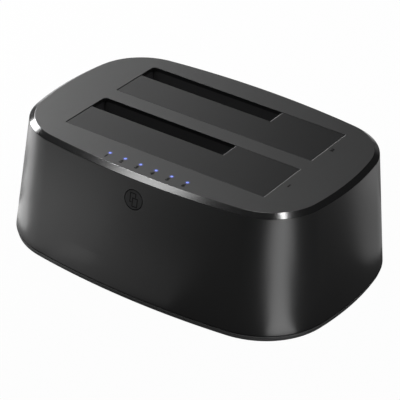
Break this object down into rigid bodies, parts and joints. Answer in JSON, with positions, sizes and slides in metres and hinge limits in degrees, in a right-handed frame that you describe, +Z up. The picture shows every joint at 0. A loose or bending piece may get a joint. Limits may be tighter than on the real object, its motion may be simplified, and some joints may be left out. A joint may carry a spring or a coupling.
{
  "type": "hard drive docking station",
  "caption": "Desktop docking station for bare hard drives, a drafted rounded casing with sprung flaps over its bays, indicator lamps and a front button.",
  "frame": {"origin": "centre of the footprint, on the surface that the feet stand on", "axes": "+X to the right along the long sides, +Y to the back where the ports are, +Z up"},
  "size_m": [0.1664, 0.1156, 0.0612],
  "materials": {
    "casing_plastic": "fine satin moulded plastic",
    "cover_plastic": "fine spark-eroded matte plastic with a polished chamfer",
    "flap_plastic": "fine spark-eroded matte plastic",
    "base_plastic": "matte moulded plastic",
    "well_plastic": "matte black moulded plastic",
    "button_plastic": "satin plastic",
    "foot_rubber": "matte rubber",
    "hinge_steel": "ground steel rod",
    "spring_steel": "drawn spring wire",
    "screw_steel": "black-zinc screw",
    "board_laminate": "green solder mask on glass laminate",
    "connector_plastic": "black glass-filled plastic",
    "contact_gold": "gold-plated contacts",
    "chip_plastic": "black moulding compound",
    "lead_tin": "tinned leads",
    "can_metal": "bare aluminium can",
    "inductor_ferrite": "grey moulded ferrite",
    "socket_steel": "stamped plated sheet",
    "tongue_plastic": "blue moulded plastic",
    "pin_metal": "plated pin",
    "switch_plastic": "glossy black plastic",
    "lamp_white": "white moulded lamp body",
    "guide_clear": "clear moulded light guide, lit blue",
    "socket_white": "cream moulded socket",
    "cable_film": "pale flat cable film"
  },
  "bodies": {
    "housing": {"base_cover": "base_plastic", "base_screws": "screw_steel", "board_screws": "screw_steel", "bridge_chip": "chip_plastic", "bridge_chip_leads": "lead_tin", "cable_sockets": "socket_white", "capacitor_bases": "connector_plastic", "capacitor_cans": "can_metal", "casing": "casing_plastic", "cover_screws": "screw_steel", "crystal_can": "can_metal", "data_socket_shell": "socket_steel", "data_socket_tongues": "tongue_plastic", "flat_cable": "cable_film", "foot_front_left": "foot_rubber", "foot_front_right": "foot_rubber", "foot_rear_left": "foot_rubber", "foot_rear_right": "foot_rubber", "front_connector_contacts": "contact_gold", "front_drive_connector": "connector_plastic", "front_drive_well": "well_plastic", "front_flap_spring": "spring_steel", "front_hinge_rod": "hinge_steel", "front_well_screws": "screw_steel", "indicator_board": "board_laminate", "indicator_lamps": "lamp_white", "indicator_screws": "screw_steel", "key_switch": "connector_plastic", "light_guide": "guide_clear", "main_board": "board_laminate", "memory_chip": "chip_plastic", "memory_chip_leads": "lead_tin", "power_inductors": "inductor_ferrite", "power_inlet": "connector_plastic", "power_inlet_pin": "pin_metal", "rear_connector_contacts": "contact_gold", "rear_drive_connector": "connector_plastic", "rear_drive_well": "well_plastic", "rear_flap_spring": "spring_steel", "rear_hinge_rod": "hinge_steel", "rear_well_screws": "screw_steel", "switch_frame": "switch_plastic", "switch_terminals": "lead_tin", "top_cover": "cover_plastic"},
    "front_flap": {"front_flap": "flap_plastic"},
    "rear_flap": {"rear_flap": "flap_plastic"},
    "front_button": {"front_button": "button_plastic", "key_plunger": "connector_plastic"},
    "power_rocker": {"power_rocker": "switch_plastic"}
  },
  "joints": [
    {"name": "front_flap_hinge", "type": "hinge", "parent": "housing", "child": "front_flap", "pos_m": [0, -0.0339, 0.057], "axis": [-1, 0, 0], "range_deg": [0, 88], "stiffness_Nm_per_rad": 0.002, "springref_deg": -85.94, "deforming": ["front_flap_spring"]},
    {"name": "rear_flap_hinge", "type": "hinge", "parent": "housing", "child": "rear_flap", "pos_m": [0, 0.00455, 0.057], "axis": [-1, 0, 0], "range_deg": [0, 88], "stiffness_Nm_per_rad": 0.002, "springref_deg": -85.94, "deforming": ["rear_flap_spring"]},
    {"name": "front_button_press", "type": "slide", "parent": "housing", "child": "front_button", "axis": [0, 1, 0], "range_m": [0, 0.0003], "stiffness_N_per_m": 600, "springref_m": -0.0005},
    {"name": "power_rocker_tilt", "type": "hinge", "parent": "housing", "child": "power_rocker", "pos_m": [-0.027, 0.0518, 0.018], "axis": [-1, 0, 0], "range_deg": [0, 22]}
  ]
}
